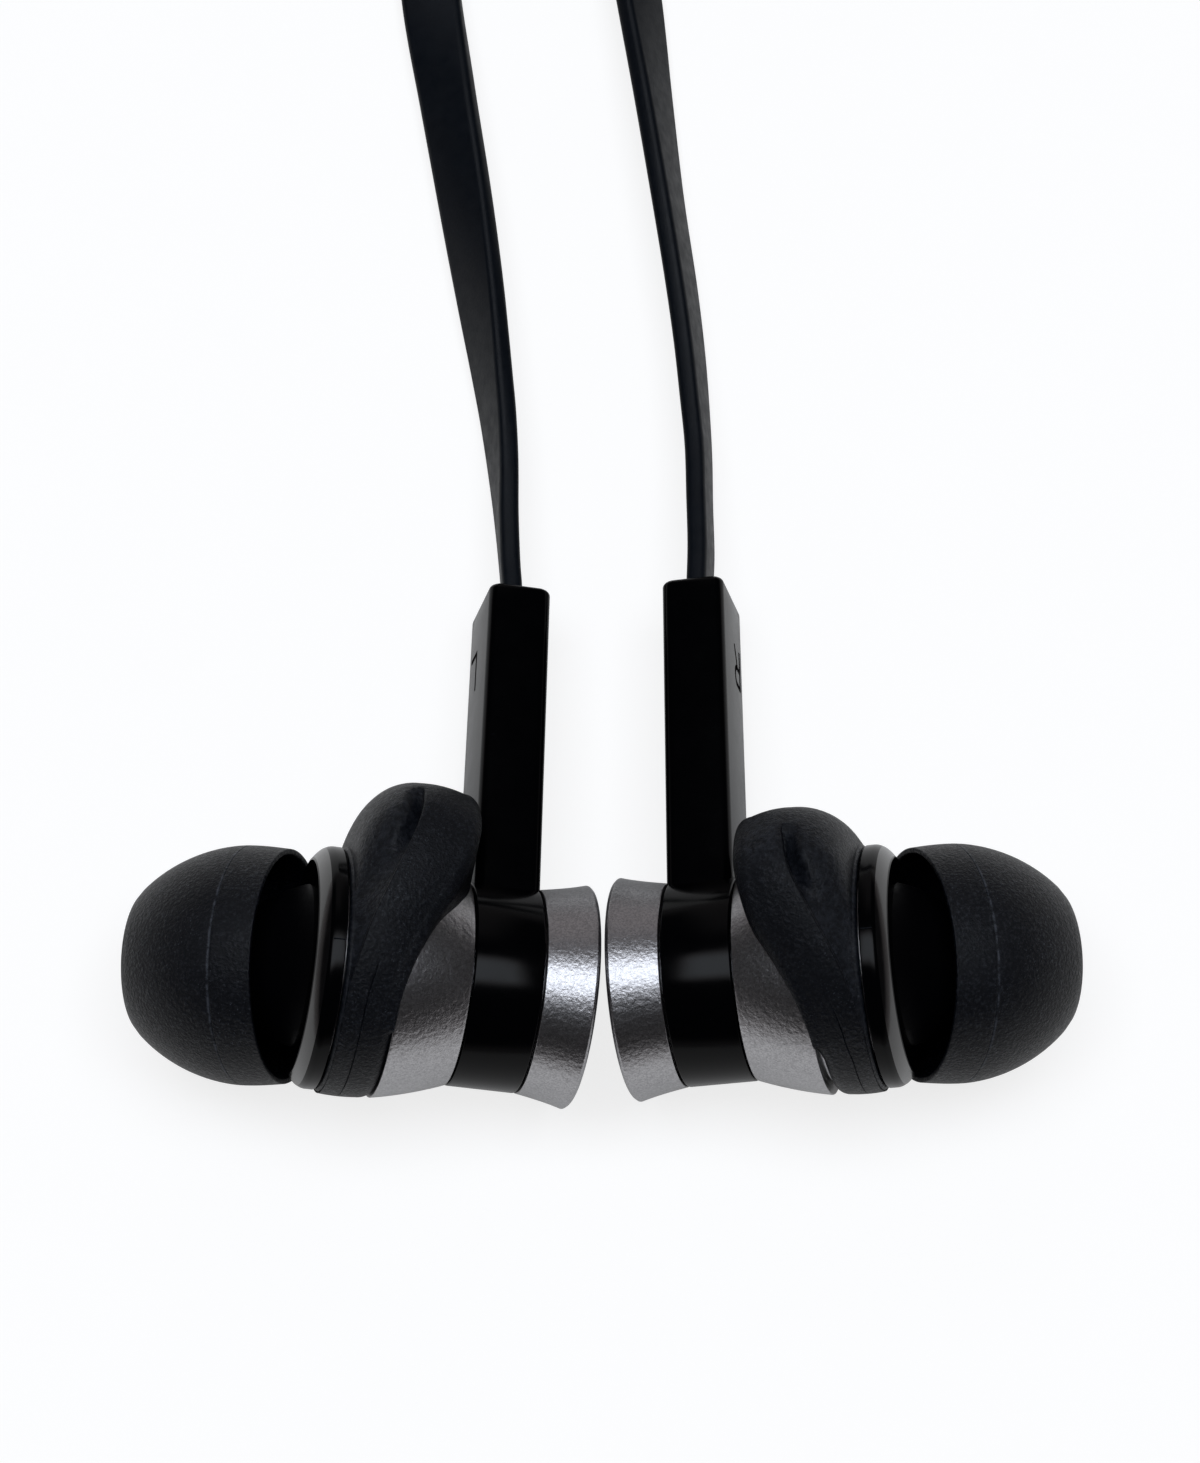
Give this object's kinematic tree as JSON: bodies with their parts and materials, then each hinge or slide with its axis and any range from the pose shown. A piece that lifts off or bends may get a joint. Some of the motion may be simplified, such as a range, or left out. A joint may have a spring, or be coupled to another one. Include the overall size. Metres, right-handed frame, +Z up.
{
  "type": "wired earphones",
  "caption": "Wired in-ear earphones with soft tips, wing sleeves, flared back caps and slim stems, on a flat cord that is coiled, tied and ends in a round audio plug.",
  "frame": {"origin": "on the surface the earphones lie on, midway between the two earpieces, under the centre of their common box", "axes": "+X towards the right earpiece, +Y along the stems towards the cord, +Z up from the surface"},
  "size_m": [0.072, 0.1334, 0.0166],
  "materials": {
    "gloss_black": "gloss",
    "silver_shell": "satin metallic",
    "black_silicone": "matt with a fine grain",
    "cord_jacket": "satin",
    "matt_black": "matt",
    "mesh_steel": "fine woven mesh",
    "driver_steel": "plain",
    "membrane_film": "thin film",
    "copper_wire": "enamelled copper",
    "magnet_plate": "nickel plated",
    "board_green": "solder mask",
    "damper_felt": "felt",
    "contact_gold": "polished",
    "tie_strap": "woven hook and loop strap"
  },
  "bodies": {
    "left_earpiece": {"left_front_housing": "gloss_black", "left_front_shell": "silver_shell", "left_stem_housing": "gloss_black", "left_back_cap": "silver_shell", "left_nozzle_mesh": "mesh_steel", "left_diaphragm": "membrane_film", "left_voice_coil": "copper_wire", "left_pole_plate": "driver_steel", "left_driver_magnet": "magnet_plate", "left_yoke_cup": "driver_steel", "left_driver_basket": "matt_black", "left_rear_damper": "damper_felt", "left_terminal_board": "board_green", "left_lead_wires": "copper_wire", "left_cord_gland": "matt_black", "cord_left": "cord_jacket", "cord_right": "cord_jacket", "branch_coil": "cord_jacket", "splitter": "matt_black", "main_coil": "cord_jacket", "cord_main": "cord_jacket", "coil_tie": "tie_strap", "plug_relief": "cord_jacket", "plug_grip": "matt_black", "plug_sleeve": "contact_gold", "plug_ring": "contact_gold", "plug_tip": "contact_gold", "plug_insulators": "matt_black"},
    "right_earpiece": {"right_front_housing": "gloss_black", "right_front_shell": "silver_shell", "right_stem_housing": "gloss_black", "right_back_cap": "silver_shell", "right_nozzle_mesh": "mesh_steel", "right_diaphragm": "membrane_film", "right_voice_coil": "copper_wire", "right_pole_plate": "driver_steel", "right_driver_magnet": "magnet_plate", "right_yoke_cup": "driver_steel", "right_driver_basket": "matt_black", "right_rear_damper": "damper_felt", "right_terminal_board": "board_green", "right_lead_wires": "copper_wire", "right_cord_gland": "matt_black"},
    "left_tip": {"left_ear_tip": "black_silicone"},
    "right_tip": {"right_ear_tip": "black_silicone"},
    "left_wing": {"left_wing_sleeve": "black_silicone"},
    "right_wing": {"right_wing_sleeve": "black_silicone"}
  },
  "joints": [
    {"name": "earpieces_apart", "type": "slide", "parent": "left_earpiece", "child": "right_earpiece", "axis": [1, 0, 0], "range_m": [0, 0.012]},
    {"name": "left_tip_pull", "type": "slide", "parent": "left_earpiece", "child": "left_tip", "axis": [-0.9536, 0.1339, -0.2698], "range_m": [0, 0.006]},
    {"name": "right_tip_pull", "type": "slide", "parent": "right_earpiece", "child": "right_tip", "axis": [0.9548, 0.1195, -0.2722], "range_m": [0, 0.006]},
    {"name": "left_wing_turn", "type": "hinge", "parent": "left_earpiece", "child": "left_wing", "pos_m": [-0.01314, -0.00765, 0.00833], "axis": [0.9753, -0.075, -0.2079], "range_deg": [-20, 20]},
    {"name": "right_wing_turn", "type": "hinge", "parent": "right_earpiece", "child": "right_wing", "pos_m": [0.01311, -0.00751, 0.00829], "axis": [-0.9774, -0.0529, -0.2045], "range_deg": [-20, 20]}
  ]
}
